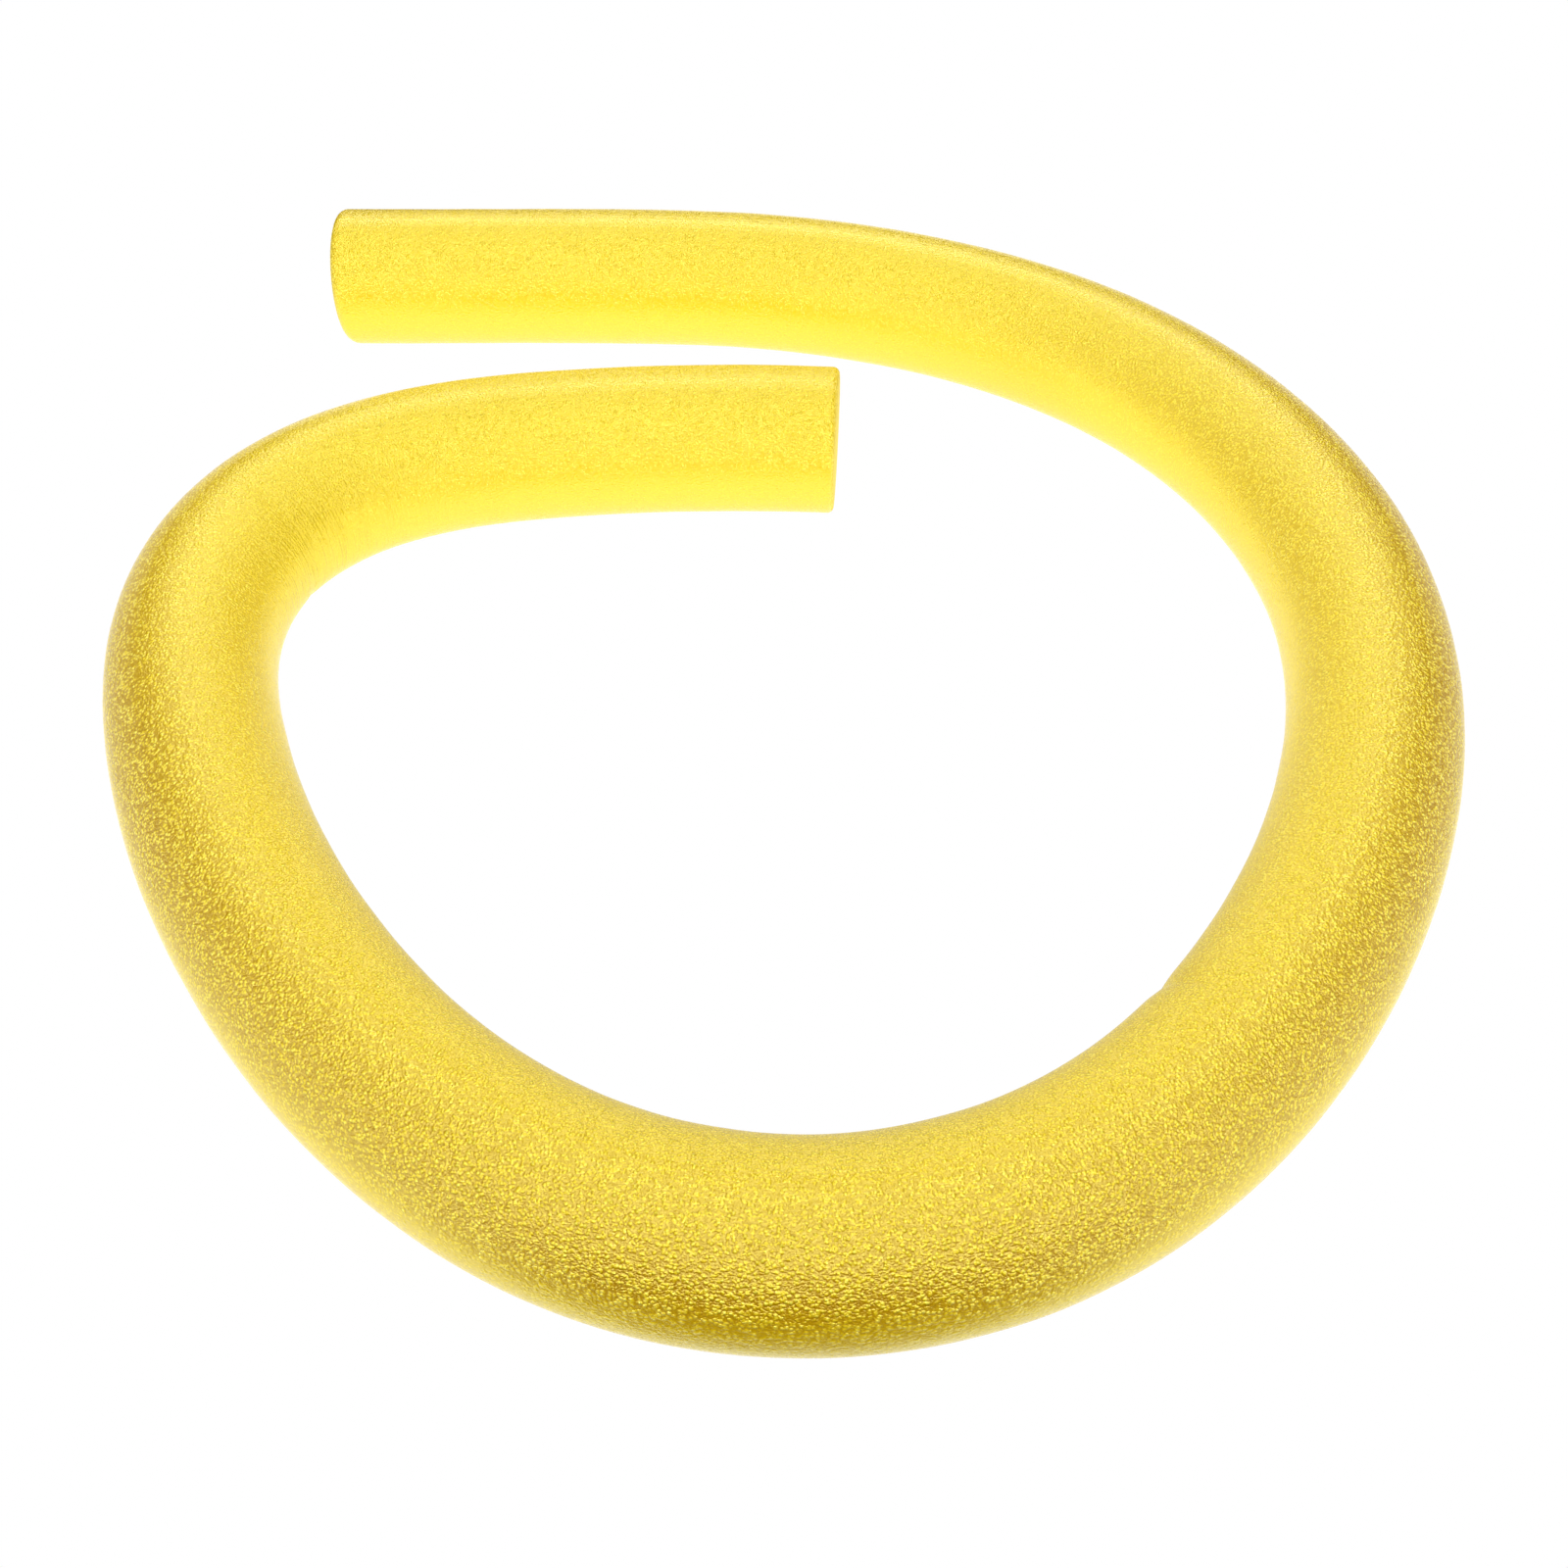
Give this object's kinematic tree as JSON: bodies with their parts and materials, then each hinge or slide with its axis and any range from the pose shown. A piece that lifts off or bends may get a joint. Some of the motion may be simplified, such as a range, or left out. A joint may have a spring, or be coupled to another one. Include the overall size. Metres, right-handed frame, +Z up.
{
  "type": "pool noodle",
  "caption": "Round closed-cell foam pool noodle bent into an open loop with two square-cut ends, a flexible float for swimming and water play.",
  "frame": {"origin": "on the ground, in the middle of the loop's bounding box", "axes": "+Z up from the ground; +Y along the loop's longest extent, from its front to the two arms at the back; +X to the right, the way the near end's cut faces"},
  "size_m": [0.4734, 0.5182, 0.0575],
  "materials": {
    "foam": "matt closed-cell polyethylene foam with a fine cell grain"
  },
  "bodies": {
    "root": {"foam_noodle": "foam"}
  },
  "joints": []
}
